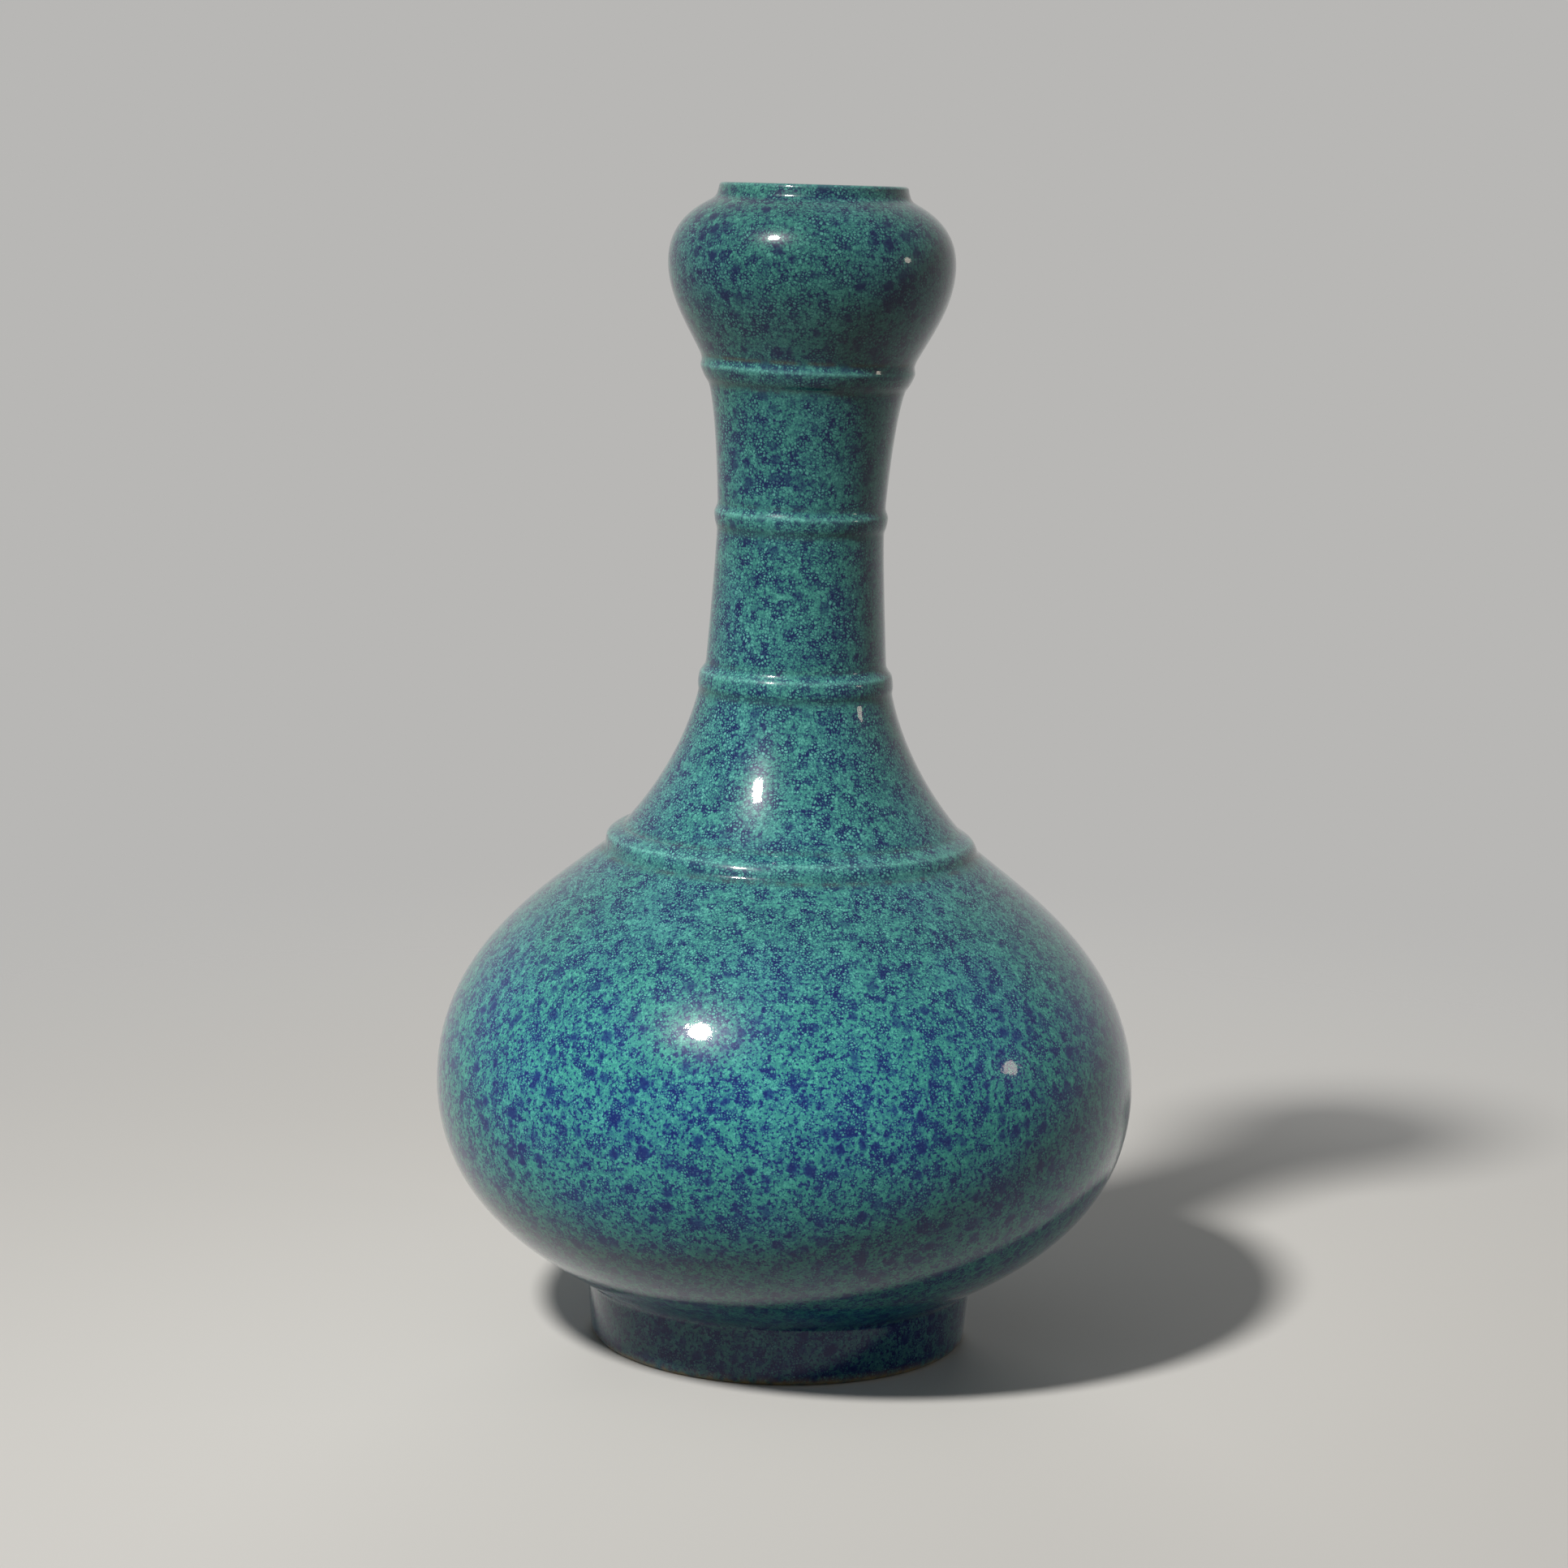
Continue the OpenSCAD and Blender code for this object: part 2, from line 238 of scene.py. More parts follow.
def fine_outline(node):
    """The outline with close points, which of them are edges, and whether it is closed."""
    points, closed = cad_outline(node)
    count = len(points)
    if closed:
        corners = [
            i for i in range(count) if is_corner(points[i - 1], points[i], points[(i + 1) % count])
        ]
        points = points[corners[0]:] + points[:corners[0]] + [points[corners[0]]]
        corners = [c - corners[0] for c in corners] + [count]
    else:
        inner = range(1, count - 1)
        corners = [0] + [i for i in inner if is_corner(*points[i - 1:i + 2])] + [count - 1]
    fine = []
    edges = []
    for first, last in zip(corners, corners[1:]):
        run = curve_through(points[first:last + 1])
        edges.append(len(fine))
        fine += run[:-1]
    if not closed:
        edges.append(len(fine))
        fine.append(points[-1])
    return fine, edges, closed


def cad_profile(grid):
    """Radius of the vase's outer face at each height of a grid, as the CAD sections have it."""
    radii = np.zeros(len(grid))
    for fine, _, _ in OUTLINES.values():
        for a, b in zip(fine, fine[1:] + fine[:1]):
            if b.y - a.y > RING_GRID / 10:
                k = (grid >= a.y) & (grid <= b.y)
                radii[k] = np.maximum(radii[k], a.x + (b.x - a.x) * (grid[k] - a.y) / (b.y - a.y))
    for low, high in BAND_HEIGHTS.values():
        gap = (grid > high - PROFILE_STEP) & (grid < high + SLIP_GAP + PROFILE_STEP)
        radii[gap] = np.interp(grid[gap], grid[~gap], radii[~gap])
    return radii


def soft_profile(grid, radii):
    """The same radii with the glaze drawn softly over the seams."""
    reach = round(3 * SEAM_SOFTNESS / PROFILE_STEP)
    offsets = np.arange(-reach, reach + 1) * PROFILE_STEP
    weights = np.exp(-0.5 * (offsets / SEAM_SOFTNESS) ** 2)
    soft = np.convolve(np.pad(radii, reach, mode="edge"), weights / weights.sum(), mode="valid")
    share = np.clip(grid - SHARP_FOOT, 0, 1) * np.clip(TOP_Z - SHARP_LIP - grid, 0, 1)
    return radii + (soft - radii) * share


def wobble(angle, z):
    """How far the thrown wall stands out from a perfect turn."""
    return sum(size * math.sin(n * angle + z / rise + phase) for n, rise, phase, size in WOBBLES)


def swell(node, z, angle):
    """How far the shoulder band, laid on by hand, stands out more under its top edge on its left."""
    if node != "shoulder_band":
        return 0
    low, high = BAND_HEIGHTS[node]
    u = min(1, (z - low) / (high + SLIP_GAP - low))
    left = max(0, -math.cos(angle))
    return SWELL * left ** 2 * u ** 2 * math.sqrt(1 - u)


def hand_made(r, z, angle):
    """A turned point with the wall's waves, and with the head's slight lean to the right."""
    r += wobble(angle, z) * min(1, r / WOBBLE_FULL_R)
    x = r * math.cos(angle)
    y = r * math.sin(angle)
    t = min(1, max(0, (z - LEAN_FROM_Z) / (LEAN_TO_Z - LEAN_FROM_Z)))
    lean = LEAN * t * t * (3 - 2 * t)
    tilt = LEAN * 6 * t * (1 - t) / (LEAN_TO_Z - LEAN_FROM_Z)
    return Vector((x + lean, y, z - x * tilt)) * MM


def bell(x, centre, width):
    """Smooth bump that is 1 at its centre and fades over its width."""
    return math.exp(-((x - centre) / width) ** 2)


# Each band's crest as a share of its height, and how much ochre its lower and its upper edge show
BAND_MARKS = {
    "shoulder_band": (0.62, 0.25, 0.15),
    "lower_neck_band": (0.7, 0.1, 0.1),
    "middle_neck_band": (0.7, 0.1, 0.1),
    "upper_neck_band": (0.7, 0.25, 0.5),
}
# Widths of the lines where the glaze thins, pools and breaks to ochre
CREST_LINE = 0.4
CREST_GLOW = 1.6
GROOVE = 1.2
HOLLOW = 0.8
OCHRE_LINE = 0.45
STANDING_EDGE = 1.3
LIP_LINE = 0.9
# How far the glaze thins along lip and crests and beside the crests, and how far it pools above bands
LIP_THIN = 0.6
CREST_THIN = 0.7
GLOW_THIN = 0.2
HOLLOW_POOL = 0.5


def glaze_depth(z):
    """Where the glazed face runs thin, pools, and shows the ochre body: three shares from 0 to 1."""
    thin = LIP_THIN * bell(z, TOP_Z, LIP_LINE)
    pool = 0.0
    ochre = bell(z, 0, STANDING_EDGE)
    for name, (low, high) in BAND_HEIGHTS.items():
        crest, ochre_low, ochre_high = BAND_MARKS[name]
        crest = low + crest * (high - low)
        thin += CREST_THIN * bell(z, crest, CREST_LINE) + GLOW_THIN * bell(z, crest, CREST_GLOW)
        pool += bell(z, low, GROOVE) + HOLLOW_POOL * bell(z, high + HOLLOW / 2, HOLLOW)
        ochre += ochre_low * bell(z, low - OCHRE_LINE, OCHRE_LINE)
        ochre += ochre_high * bell(z, high + OCHRE_LINE, OCHRE_LINE)
    return min(1, thin), min(1, pool), min(1, ochre)


def glazed_rings(node):
    """Rings of a piece as (radius, height), and which of them lie on the glazed face."""
    fine = OUTLINES[node][0]
    inside = min(p.x for p in fine)
    rings = []
    glazed = []
    for r, z in fine:
        on_face = np.interp(z, GRID, CAD_RADII) - r < FACE_TOLERANCE
        if node in BANDS:
            low, high = BAND_HEIGHTS[node]
            on_face = r - inside > FACE_TOLERANCE
            z = low + (z - low) * (1 + SLIP_GAP / (high - low))
        rings.append(Vector((float(np.interp(z, GRID, RADII)) if on_face else r, z)))
        glazed.append(on_face)
    return rings, glazed


def turned_piece(node):
    """Closed mesh turned on a CAD node's outline, with its glaze attributes and a map for baking."""
    edges, closed = OUTLINES[node][1:]
    rings, glazed = glazed_rings(node)
    count = len(rings)
    brinks = {i for i in range(count) if glazed[i] and not (glazed[i - 1] and glazed[(i + 1) % count])}
    vertices = []
    ring_start = []
    depth = []
    for (r, z), on_face in zip(rings, glazed):
        ring_start.append(len(vertices))
        columns = SEGMENTS if r > 0 else 1
        for j in range(columns):
            angle = math.tau * j / SEGMENTS
            vertices.append(hand_made(r + (swell(node, z, angle) if on_face else 0), z, angle))
        depth += [glaze_depth(z) if on_face else (0, 0, 0)] * columns
    spans = list(zip(range(count), range(1, count)))
    if closed:
        spans.append((count - 1, 0))

    def corner(ring, column):
        return ring_start[ring] + (column % SEGMENTS if rings[ring].x > 0 else 0)

    # The map is made of strips side by side, with less room for inner and hidden faces
    reach = [0.0]
    for a, b in spans:
        shown = glazed[a] and glazed[b]
        reach.append(reach[-1] + (rings[b] - rings[a]).length * (1 if shown else INNER_MAP_SHARE))
    tall = reach[-1]
    wide = math.tau * max(p.x for p in rings)
    strips = min(STRIP_COUNTS, key=lambda n: abs(math.log(wide / n / (tall * n))))
    scale = 1 / max(wide / strips, tall * strips)
    columns = SEGMENTS // strips

    def on_map(span_end, column, strip):
        u = MAP_MARGIN + (1 - 2 * MAP_MARGIN) * (column - strip * columns) / columns
        v = MAP_MARGIN + (1 - 2 * MAP_MARGIN) * reach[span_end] / tall
        return u * wide / strips * scale, (strip + v) * tall * scale

    faces = []
    uvs = []
    normals = []
    for index, (a, b) in enumerate(spans):
        for j in range(SEGMENTS):
            strip = j // columns
            quad = [(a, index, j), (a, index, j + 1), (b, index + 1, j + 1), (b, index + 1, j)]
            if rings[a].x == 0:
                quad.pop(1)
            elif rings[b].x == 0:
                quad.pop(2)
            faces.append([corner(ring, column) for ring, _, column in quad])
            for ring, end, column in quad:
                uvs += on_map(end, column, strip)
                at_seam = glazed[a] and glazed[b] and ring in brinks
                normals.append(face_normal(rings[ring].y, column) if at_seam else (0, 0, 0))

    mesh = bpy.data.meshes.new("glazed_" + node)
    mesh.from_pydata(vertices, [], faces)
    mesh.uv_layers.new(name="OFBake").data.foreach_set("uv", uvs)
    mesh.polygons.foreach_set("use_smooth", [True] * len(faces))
    sharp = [i for i in edges if rings[i].x > 0 and (i in brinks or not glazed[i])]
    mark_sharp(mesh, [ring_start[i] for i in sharp])
    for position, name in enumerate(("thin", "pool", "ochre")):
        attribute = mesh.attributes.new(name, "FLOAT", "POINT")
        attribute.data.foreach_set("value", [d[position] for d in depth])
    mesh.normals_split_custom_set(normals)
    piece = bpy.data.objects.new("glazed_" + node, mesh)
    bpy.context.scene.collection.objects.link(piece)
    return piece


def face_normal(z, column):
    """Direction that the glazed face looks in, so that two pieces look alike where they meet."""
    if not SHARP_FOOT < z < TOP_Z - SHARP_LIP:
        return (0, 0, 0)
    angle = math.tau * column / SEGMENTS
    return Vector((math.cos(angle), math.sin(angle), -np.interp(z, GRID, SLOPES))).normalized()


def mark_sharp(mesh, ring_starts):
    """Marks the edges of the rings that begin at these vertices as sharp."""
    ring_of = {}
    for start in ring_starts:
        for i in range(start, start + SEGMENTS):
            ring_of[i] = start
    for edge in mesh.edges:
        a, b = edge.vertices
        if a in ring_of and ring_of[a] == ring_of.get(b):
            edge.use_edge_sharp = True


class Nodes:
    """Adds shader nodes to a material or a world and joins them up."""

    def __init__(self, owner):
        owner.use_nodes = True
        self.tree = owner.node_tree
        self.tree.nodes.clear()

    def add(self, kind, inputs, **settings):
        node = self.tree.nodes.new(kind)
        for name, value in settings.items():
            setattr(node, name, value)
        for name, value in inputs.items():
            if isinstance(value, bpy.types.NodeSocket):
                self.tree.links.new(value, node.inputs[name])
            else:
                node.inputs[name].default_value = value
        return node

    def calc(self, operation, a, b=0.0, c=0.0):
        return self.add("ShaderNodeMath", {0: a, 1: b, 2: c}, operation=operation).outputs[0]

    def clamped(self, value):
        return self.add("ShaderNodeClamp", {"Value": value}).outputs[0]

    def fade(self, value, start, end, low=0.0, high=1.0):
        """Smooth step from low at start to high at end."""
        inputs = {"Value": value, "From Min": start, "From Max": end, "To Min": low, "To Max": high}
        return self.add("ShaderNodeMapRange", inputs, interpolation_type="SMOOTHSTEP").outputs[0]

    def between(self, share, a, b):
        return self.add("ShaderNodeMix", {0: share, 2: a, 3: b}, data_type="FLOAT").outputs[0]

    def tint(self, share, a, b, blend="MIX"):
        settings = {"data_type": "RGBA", "blend_type": blend}
        return self.add("ShaderNodeMix", {0: share, 6: a, 7: b}, **settings).outputs[2]

    def noise(self, place, per_mm, detail=2.0, roughness=0.5):
        inputs = {"Vector": place, "Scale": per_mm, "Detail": detail, "Roughness": roughness}
        return self.add("ShaderNodeTexNoise", inputs)

    def cells(self, place, per_mm, randomness=1.0, feature="F1"):
        inputs = {"Vector": place, "Scale": per_mm, "Randomness": randomness}
        return self.add("ShaderNodeTexVoronoi", inputs, feature=feature).outputs

    def vector(self, operation, a, b):
        return self.add("ShaderNodeVectorMath", {0: a, 1: b}, operation=operation).outputs[0]

    def scaled(self, vector, factor):
        inputs = {0: vector, "Scale": factor}
        return self.add("ShaderNodeVectorMath", inputs, operation="SCALE").outputs[0]

    def ramp(self, value, stops):
        node = self.add("ShaderNodeValToRGB", {"Fac": value})
        elements = node.color_ramp.elements
        for position, _ in stops[1:-1]:
            elements.new(position)
        for element, (position, colour) in zip(elements, stops):
            element.position = position
            element.color = linear(colour)
        return node.outputs[0]

    def attribute(self, name):
        return self.add("ShaderNodeAttribute", {}, attribute_name=name).outputs["Fac"]

    def seen(self):
        """1 where the camera looks, straight, by a reflection or through glass, and 0 for other light."""
        path = self.add("ShaderNodeLightPath", {}).outputs
        share = self.calc("MAXIMUM", path["Is Camera Ray"], path["Is Glossy Ray"])
        return self.calc("MAXIMUM", share, path["Is Transmission Ray"])


# Glaze colours, from the palest bubbles to the darkest cobalt
BELLY_STOPS = (
    (0.0, (92, 188, 176)),
    (0.2, (62, 156, 146)),
    (0.5, (38, 102, 131)),
    (0.75, (20, 61, 121)),
    (1.0, (8, 35, 106)),
)
HEAD_STOPS = (
    (0.0, (98, 174, 164)),
    (0.2, (63, 139, 131)),
    (0.5, (39, 90, 107)),
    (0.75, (20, 50, 92)),
    (1.0, (8, 26, 80)),
)
# Shares of each glaze effect at the belly, and from the shoulder up. Base is the depth of blue to start
# from, and drift its slow change. Net is how dark the bubble walls are over the whole ground, foam how
# dark they are in the clusters, and hearts how pale the bubbles are there. Cobalt and flecks are the blue
# patches, large and small.
GLAZE = {
    "base": (-0.47, -0.34),
    "drift": (0.72, 0.4),
    "net": (0.14, 0.44),
    "foam": (0.55, 0.52),
    "hearts": (-0.05, -0.08),
    "cobalt": (0.95, 0.3),
    "flecks": (0.62, 0.34),
}
BELLY_Z = 75
SHOULDER_Z = 116
# Painted shade darkens the glaze from the neck to the bulb; its bubble walls fade and its cobalt gathers
BULB_FROM_Z = 125
BULB_TO_Z = 300
BULB_WALLS = 0.75
BULB_COBALT = 2.7
BULB_PAINTED_SHADE = 0.56
# Painted shade: the foot, under the belly, is darker and more violet
FOOT_FROM_Z = 21
FOOT_TO_Z = 13
FOOT_PAINTED_SHADE = (0.82, 0.55, 0.7, 1.0)
# Bubbles and blotches per mm, and how far noise pushes their shapes about
BELLY_BUBBLES = 1.5
NECK_BUBBLES = 1.3
BUBBLE_SCATTER = 0.9
CLUSTERS = 0.3
BLOTCHES = 0.32
FINE_WARP = 0.3
SLOW_WARP = 0.9
# Blotches: the least reach and its spread, how ragged they are, and the strength of the faintest
BLOTCH_REACH = -0.45
BLOTCH_SPREAD = 0.6
RAGGEDNESS = 0.8
FAINTEST = 0.45
# Noises: the middle of their range, and the features per mm, detail and roughness of each
NOISE_MIDDLE = (0.5, 0.5, 0.5)
FINE_NOISE = (1.2, 3.0, 0.6)
SLOW_NOISE = (0.3, 2.0, 0.5)
REGION_NOISE = (0.13, 2.0, 0.5)
TONE_NOISE = (0.35, 5.0, 0.7)
GRAIN_NOISE = (2.4, 2.0, 0.6)
HUE_NOISE = (0.045, 2.0, 0.5)
PEEL_NOISE = (0.4, 1.0, 0.5)
UNDULATION_NOISE = (0.06, 1.0, 0.5)
# Where each effect sets in and where it is full, and for regions the least and most share
CLUSTER_FADE = (0.48, 0.62)
REGION_FADE = (0.36, 0.6, 0.35, 1.0)
NET_FADE = (0.25, 0.0)
FOAM_FADE = (0.45, 0.08)
HEART_FADE = (0.25, 0.6)
BLOTCH_FADE = (-0.22, 0.28)
FLECK_FADE = (0.5, 0.64)
HUE_FADE = (0.35, 0.65)
BARE_FADE = (0.3, 0.65)
DIMPLE_FADE = (0.0, 0.3)
# How much fine grain, each bubble's own luck and thin glaze change the depth of blue
GRAIN = 0.45
BUBBLE_LUCK = 0.18
THIN_BLUE = -0.15
# Colours laid over the blue, and their shares
WHITE = (1.0, 1.0, 1.0, 1.0)
GREEN_SHADE = (0.94, 1.0, 0.95, 1.0)
BLUE_SHADE = (1.0, 0.99, 1.03, 1.0)
HEART_COLOUR = (112, 168, 178)
HEART_SHARE = 0.18
THIN_COLOUR = (120, 190, 178)
THIN_SHARE = 0.28
POOL_COLOUR = (38, 92, 90)
POOL_SHARE = 0.4
OCHRE_COLOUR = (88, 84, 58)
STANDING_COLOUR = (186, 164, 108)
# Relief of the surface, and a soft gloss under the sharp one
PEEL = 0.03
UNDULATION = 0.12
DIMPLES = 0.0008
SOFT_GLOSS = 0.1
SOFT_ROUGHNESS = 0.24
TONE_ROUGHNESS = 0.1
BARE_ROUGHNESS = 0.4
COAT_ROUGHNESS = 0.032
COAT_IOR = 1.35


def blotches(nodes, place, ragged):
    """Ragged roundish patches of many sizes and strengths: up to 1 at their hearts, and 0 between."""
    cells = nodes.cells(place, BLOTCHES)
    luck = nodes.add("ShaderNodeSeparateColor", {0: cells["Color"]}).outputs
    reach = nodes.calc("MULTIPLY_ADD", luck[0], BLOTCH_SPREAD, BLOTCH_REACH)
    depth = nodes.calc("SUBTRACT", reach, cells["Distance"])
    depth = nodes.calc("MULTIPLY_ADD", ragged, RAGGEDNESS, depth)
    strength = nodes.calc("MULTIPLY_ADD", luck[1], 1 - FAINTEST, FAINTEST)
    return nodes.calc("MULTIPLY", nodes.fade(depth, *BLOTCH_FADE), strength)


def make_glaze(name, bubbles):
    """Glossy mottled glaze with this many bubbles per mm."""
    material = bpy.data.materials.new(name)
    nodes = Nodes(material)
    metres = nodes.add("ShaderNodeTexCoord", {}).outputs["Object"]
    place = nodes.scaled(metres, 1 / MM)
    height = nodes.add("ShaderNodeSeparateXYZ", {0: place}).outputs[2]
    rise = nodes.fade(height, BELLY_Z, SHOULDER_Z)
    share = {effect: nodes.between(rise, low, high) for effect, (low, high) in GLAZE.items()}
    fine_noise = nodes.noise(place, *FINE_NOISE)
    slow_noise = nodes.noise(place, *SLOW_NOISE)
    warped = place
    for noise, reach in ((fine_noise, FINE_WARP), (slow_noise, SLOW_WARP)):
        push = nodes.vector("SUBTRACT", noise.outputs["Color"], NOISE_MIDDLE)
        warped = nodes.vector("ADD", warped, nodes.scaled(push, reach))
    fine_noise = fine_noise.outputs[0]
    slow_noise = slow_noise.outputs[0]

    # Bubbles: round pale hearts with dark glaze between them, which is thicker in the clusters
    cells = nodes.cells(warped, bubbles, BUBBLE_SCATTER)
    next_cells = nodes.cells(warped, bubbles, BUBBLE_SCATTER, "F2")
    to_wall = nodes.calc("SUBTRACT", next_cells["Distance"], cells["Distance"])
    cluster = nodes.fade(nodes.noise(cells["Position"], CLUSTERS).outputs[0], *CLUSTER_FADE)
    region = nodes.fade(nodes.noise(place, *REGION_NOISE).outputs[0], *REGION_FADE)
    net = nodes.fade(to_wall, *NET_FADE)
    net = nodes.calc("MULTIPLY", net, nodes.calc("MULTIPLY", region, share["net"]))
    foam = nodes.fade(to_wall, *FOAM_FADE, share["hearts"], share["foam"])
    walls = nodes.calc("MULTIPLY_ADD", foam, cluster, net)
    on_bulb = nodes.fade(height, BULB_FROM_Z, BULB_TO_Z)
    walls = nodes.calc("MULTIPLY", walls, nodes.between(on_bulb, 1.0, BULB_WALLS))
    luck = nodes.add("ShaderNodeSeparateColor", {0: cells["Color"]}).outputs[1]
    heart = nodes.calc("MULTIPLY", nodes.fade(to_wall, *HEART_FADE), cluster)

    # Cobalt blotches, flecks finer than the bubbles, and a slow drift of tone
    cobalt = nodes.calc("MULTIPLY", blotches(nodes, warped, fine_noise), share["cobalt"])
    cobalt = nodes.calc("MULTIPLY", cobalt, nodes.between(on_bulb, 1.0, BULB_COBALT))
    flecks = nodes.calc("MULTIPLY", nodes.fade(fine_noise, *FLECK_FADE), share["flecks"])
    tone = nodes.noise(place, *TONE_NOISE).outputs[0]
    grain = nodes.noise(place, *GRAIN_NOISE).outputs[0]
    dark = nodes.calc("MULTIPLY_ADD", tone, share["drift"], share["base"])
    dark = nodes.calc("MULTIPLY_ADD", grain, GRAIN, dark)
    dark = nodes.calc("MULTIPLY_ADD", luck, BUBBLE_LUCK, dark)
    dark = nodes.calc("ADD", dark, walls)
    dark = nodes.calc("ADD", dark, flecks)
    dark = nodes.between(cobalt, dark, 1.0)
    thin = nodes.attribute("thin")
    dark = nodes.clamped(nodes.calc("MULTIPLY_ADD", thin, THIN_BLUE, dark))

    # Colour: the cobalt ramps, bluer and greener areas, pale bubbles, painted shade on bulb and foot,
    # thin crests, pooled grooves and bare ochre
    colour = nodes.tint(rise, nodes.ramp(dark, BELLY_STOPS), nodes.ramp(dark, HEAD_STOPS))
    hue = nodes.fade(nodes.noise(place, *HUE_NOISE).outputs[0], *HUE_FADE)
    shade = nodes.tint(hue, GREEN_SHADE, BLUE_SHADE)
    colour = nodes.tint(1.0, colour, shade, "MULTIPLY")
    colour = nodes.tint(nodes.calc("MULTIPLY", heart, HEART_SHARE), colour, linear(HEART_COLOUR))
    # Painted shade: darker towards the top of the bulb, where the light falls off
    bulb_painted_shade = nodes.tint(on_bulb, WHITE, (BULB_PAINTED_SHADE, BULB_PAINTED_SHADE, BULB_PAINTED_SHADE, 1.0))
    colour = nodes.tint(1.0, colour, bulb_painted_shade, "MULTIPLY")
    on_foot = nodes.fade(height, FOOT_FROM_Z, FOOT_TO_Z)
    # Painted shade: the foot is darker and more violet, as in the belly's shadow
    foot_painted_shade = nodes.tint(on_foot, WHITE, FOOT_PAINTED_SHADE)
    colour = nodes.tint(1.0, colour, foot_painted_shade, "MULTIPLY")
    colour = nodes.tint(nodes.calc("MULTIPLY", thin, THIN_SHARE), colour, linear(THIN_COLOUR))
    pooled = nodes.calc("MULTIPLY", nodes.attribute("pool"), POOL_SHARE)
    colour = nodes.tint(pooled, colour, linear(POOL_COLOUR))
    bare = nodes.calc("MULTIPLY", nodes.attribute("ochre"), nodes.fade(slow_noise, *BARE_FADE))
    ochre = nodes.tint(on_foot, linear(OCHRE_COLOUR), linear(STANDING_COLOUR))
    colour = nodes.tint(bare, colour, ochre)

    # Surface: glossy, with a faint orange peel, a slow swell and a dimple along each bubble wall
    relief = nodes.calc("MULTIPLY", nodes.noise(place, *PEEL_NOISE).outputs[0], PEEL)
    swells = nodes.noise(place, *UNDULATION_NOISE).outputs[0]
    relief = nodes.calc("MULTIPLY_ADD", swells, UNDULATION, relief)
    relief = nodes.calc("MULTIPLY_ADD", nodes.fade(to_wall, *DIMPLE_FADE), DIMPLES, relief)
    bump = nodes.add("ShaderNodeBump", {"Height": relief, "Distance": MM}).outputs[0]
    gloss = nodes.calc("MULTIPLY_ADD", tone, TONE_ROUGHNESS, SOFT_ROUGHNESS)
    gloss = nodes.calc("MULTIPLY_ADD", bare, BARE_ROUGHNESS, gloss)
    inputs = {
        "Base Color": colour,
        "Roughness": gloss,
        "Normal": bump,
        "Specular IOR Level": SOFT_GLOSS,
        "Coat Weight": 1.0,
        "Coat Roughness": COAT_ROUGHNESS,
        "Coat IOR": COAT_IOR,
        "Coat Normal": bump,
    }
    shader = nodes.add("ShaderNodeBsdfPrincipled", inputs)
    nodes.add("ShaderNodeOutputMaterial", {"Surface": shader.outputs[0]})
    return material


def make_floor():
    """Round sheet of pale paper, which fades into the backdrop and keeps the vase's shadow."""
    mesh = bpy.data.meshes.new("floor")
    rim = [math.tau * j / SEGMENTS for j in range(SEGMENTS)]
    vertices = [(FLOOR_R * MM * math.cos(a), FLOOR_R * MM * math.sin(a), 0) for a in rim]
    mesh.from_pydata(vertices, [], [range(SEGMENTS)])
    material = bpy.data.materials.new("paper")
    nodes = Nodes(material)
    place = nodes.add("ShaderNodeNewGeometry", {}).outputs["Position"]
    out = nodes.add("ShaderNodeVectorMath", {0: place}, operation="LENGTH").outputs["Value"]
    gone = nodes.fade(out, FLOOR_FADE_FROM * MM, FLOOR_R * MM)
    shown = nodes.tint(gone, linear(FLOOR_COLOUR), linear(FAR_FLOOR_COLOUR))
    colour = nodes.tint(nodes.seen(), linear(BOUNCE_COLOUR), shown)
    paper = nodes.add("ShaderNodeBsdfPrincipled", {"Base Color": colour, "Roughness": PAPER_ROUGHNESS})
    clear = nodes.add("ShaderNodeBsdfTransparent", {})
    both = nodes.add("ShaderNodeMixShader", {0: gone, 1: paper.outputs[0], 2: clear.outputs[0]})
    nodes.add("ShaderNodeOutputMaterial", {"Surface": both.outputs[0]})
    mesh.materials.append(material)
    floor = bpy.data.objects.new("floor", mesh)
    bpy.context.scene.collection.objects.link(floor)


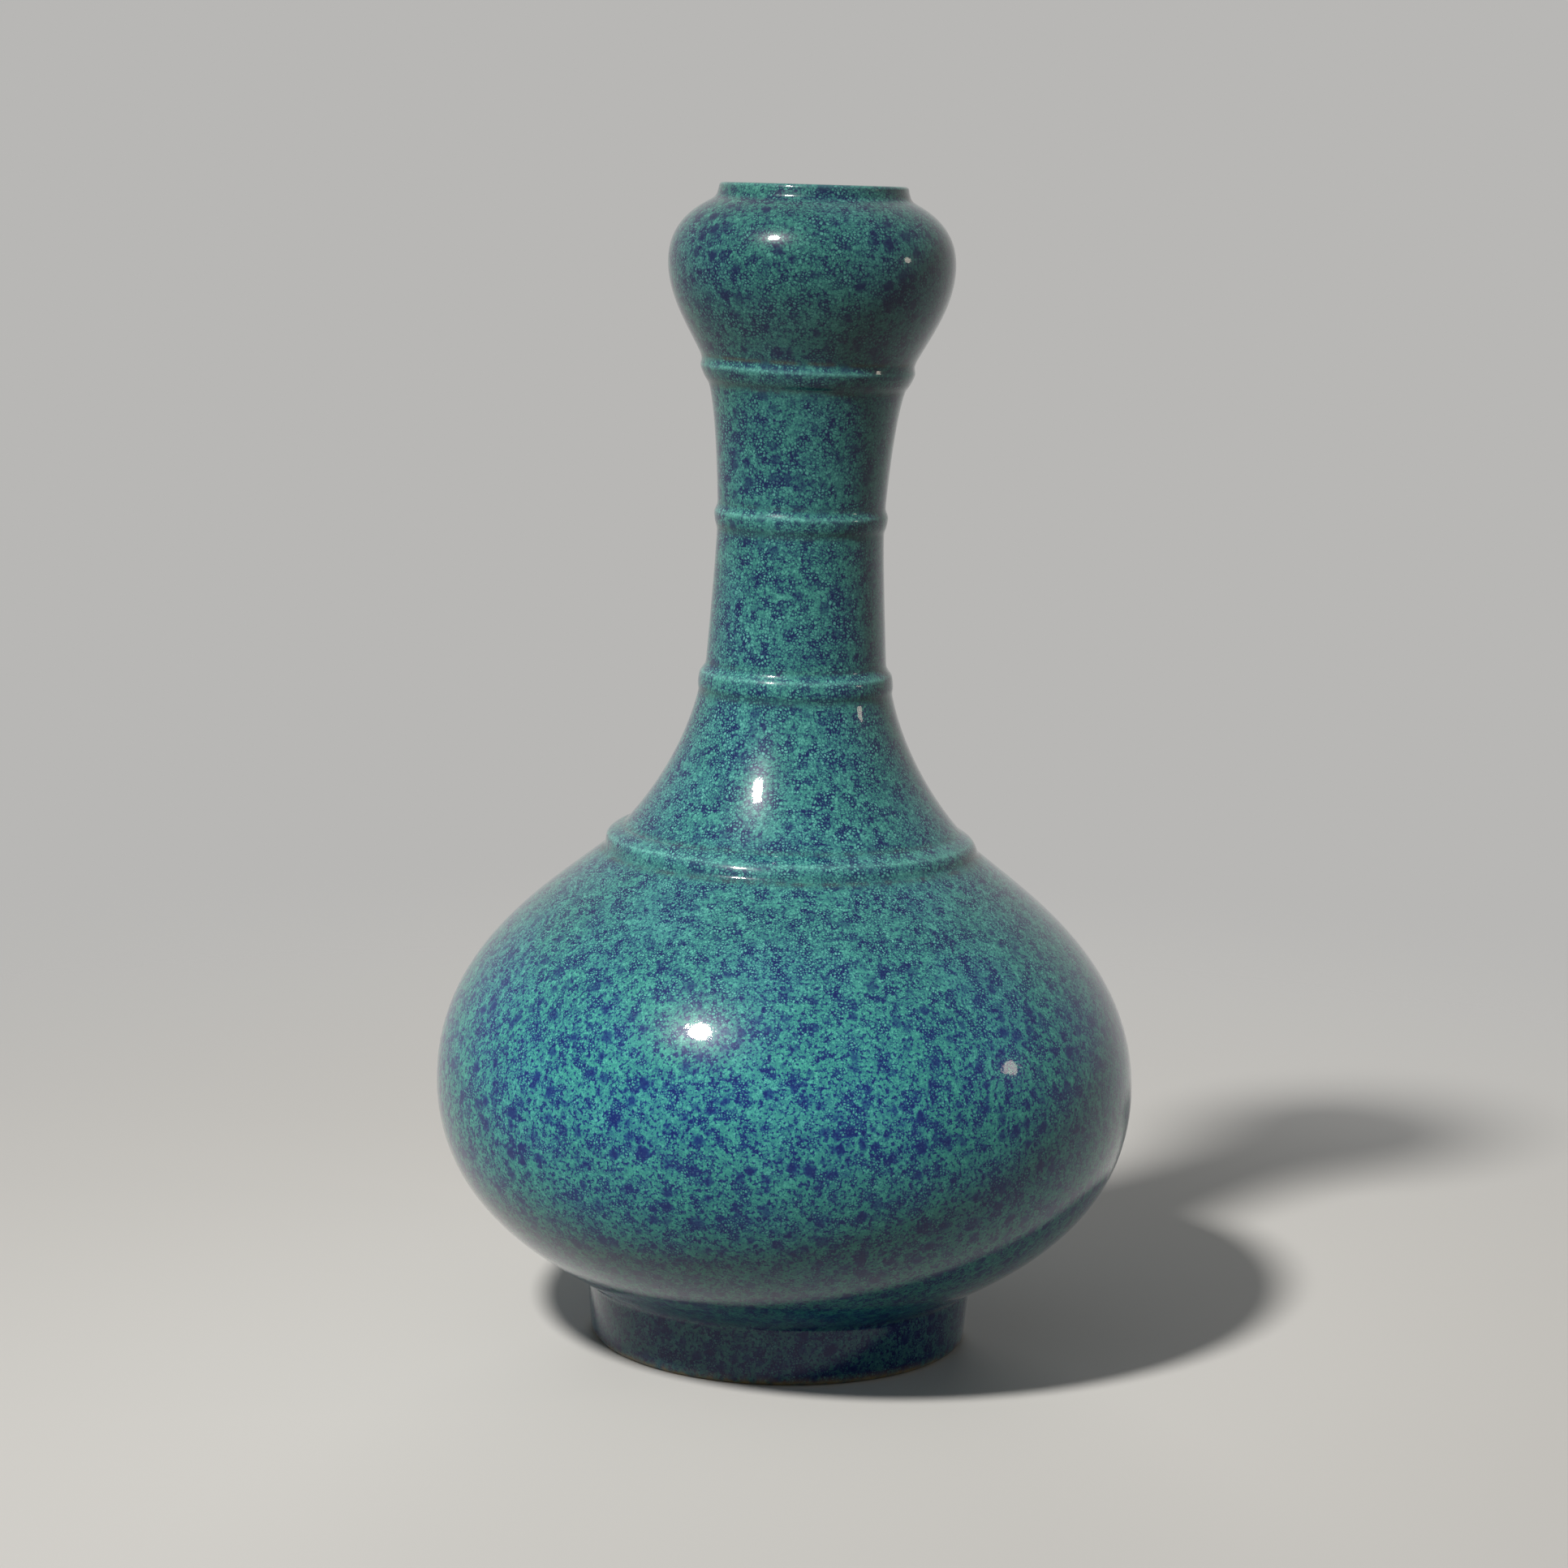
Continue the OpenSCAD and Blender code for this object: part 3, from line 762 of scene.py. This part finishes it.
def make_lamps():
    aim = Vector(LAMP_AIM) * MM
    for name, (azimuth, elevation, distance, size, beam, watts, colour) in LAMPS.items():
        a = math.radians(azimuth)
        e = math.radians(elevation)
        back = Vector((math.sin(a) * math.cos(e), -math.cos(a) * math.cos(e), math.sin(e)))
        data = bpy.data.lights.new(name, "AREA")
        data.shape = "DISK"
        data.size = size * MM
        data.spread = math.radians(beam)
        data.energy = watts
        data.color = colour
        lamp = bpy.data.objects.new(name, data)
        lamp.location = aim + back * distance * MM
        lamp.rotation_euler = back.to_track_quat("Z", "Y").to_euler()
        lamp.visible_glossy = name not in NO_HIGHLIGHT
        bpy.context.scene.collection.objects.link(lamp)


def make_sky():
    """Weak light from all round, and the pale backdrop that is seen behind the floor."""
    world = bpy.data.worlds.new("sky")
    nodes = Nodes(world)
    colour = nodes.tint(nodes.seen(), SKY_LIGHT, linear(BACKDROP_COLOUR))
    sky = nodes.add("ShaderNodeBackground", {"Color": colour})
    nodes.add("ShaderNodeOutputWorld", {"Surface": sky.outputs[0]})
    bpy.context.scene.world = world


make_camera()

# Outlines of the pieces, and the one glazed face that they share
slots = {part["node"]: part["material_slot"] for part in frame["record"]["subparts"]}
BAND_HEIGHTS = {name: heights(name) for name in BANDS}
SEAMS = [heights("foot_ring")[1], heights("garlic_bulb")[1]]
SEAMS += [z for low_and_high in BAND_HEIGHTS.values() for z in low_and_high]
OUTLINES = {node: fine_outline(node) for node in slots}
GRID = np.arange(0, TOP_Z + PROFILE_STEP / 2, PROFILE_STEP)
CAD_RADII = cad_profile(GRID)
RADII = soft_profile(GRID, CAD_RADII)
SLOPES = np.gradient(RADII, PROFILE_STEP)

belly_glaze = make_glaze("robins_egg_belly", BELLY_BUBBLES)
neck_glaze = make_glaze("robins_egg_neck", NECK_BUBBLES)
for node, slot in slots.items():
    piece = turned_piece(node)
    piece.data.materials.append(belly_glaze if node in BELLY_PIECES else neck_glaze)
    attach(piece, "root")
    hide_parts(node)
make_floor()
make_lamps()
make_sky()
bpy.context.scene.view_settings.view_transform = "Standard"
